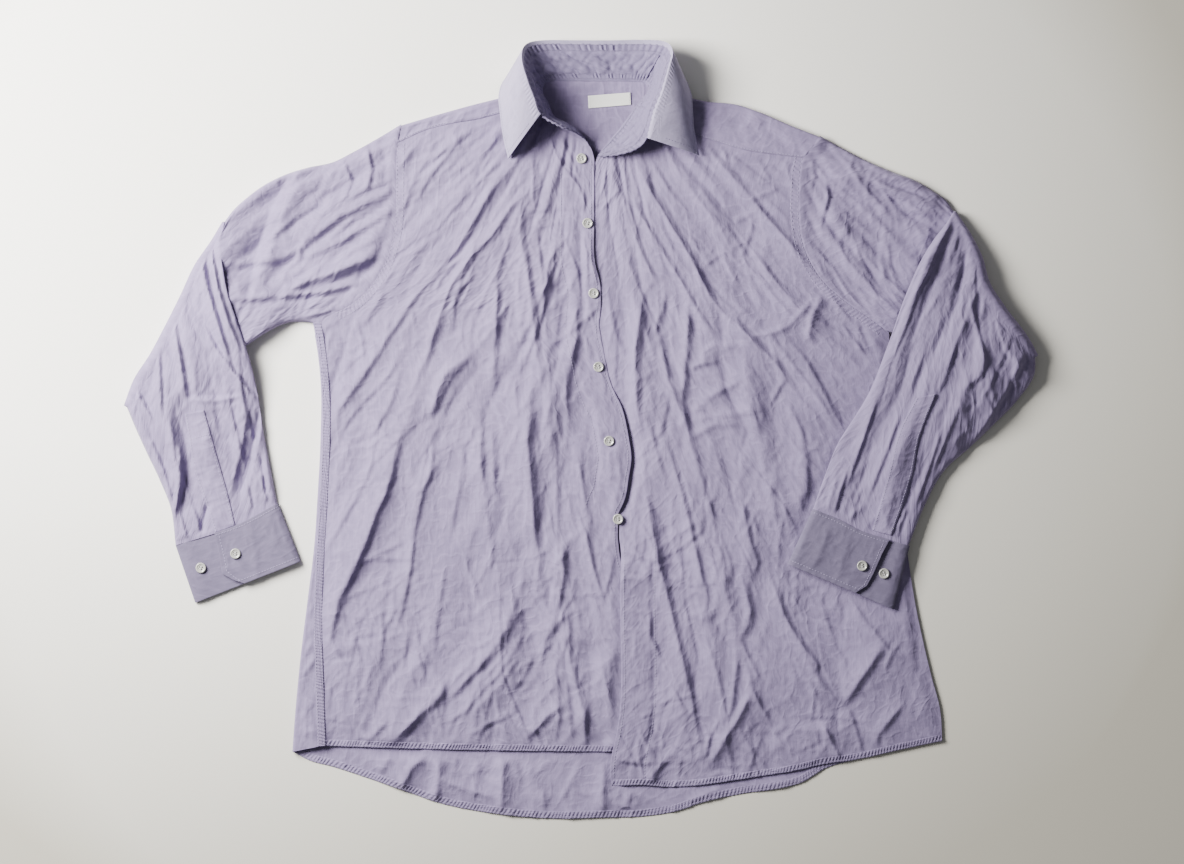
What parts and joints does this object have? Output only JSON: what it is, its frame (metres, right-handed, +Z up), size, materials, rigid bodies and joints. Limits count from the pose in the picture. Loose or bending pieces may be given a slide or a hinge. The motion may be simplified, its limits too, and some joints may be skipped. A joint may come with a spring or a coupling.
{
  "type": "crumpled shirt",
  "caption": "Long-sleeved button-front shirt in crumpled cloth, laid on its back with the collar up and both forearms folded over.",
  "frame": {"origin": "middle of the garment's footprint, on the surface it lies on", "axes": "+Z up from the surface, +Y towards the collar, +X to the right as seen from above"},
  "size_m": [0.9106, 0.7776, 0.0456],
  "materials": {
    "cloth": "matte woven cotton",
    "stiffened_cloth": "matte woven cotton, two layers",
    "label": "smooth woven ribbon",
    "pearl": "pearly gloss"
  },
  "bodies": {
    "root": {"back": "cloth", "yoke": "cloth", "front_left": "cloth", "front_right": "cloth", "sleeve_left": "cloth", "sleeve_right": "cloth", "sleeve_placket_left": "cloth", "sleeve_placket_right": "cloth", "cuff_left": "stiffened_cloth", "cuff_right": "stiffened_cloth", "collar_stand": "stiffened_cloth", "collar_leaf": "stiffened_cloth", "neck_label": "label", "front_button_1": "pearl", "front_button_2": "pearl", "front_button_3": "pearl", "front_button_4": "pearl", "front_button_5": "pearl", "front_button_6": "pearl", "cuff_button_1": "pearl", "cuff_button_2": "pearl", "cuff_button_3": "pearl", "cuff_button_4": "pearl"}
  },
  "joints": []
}
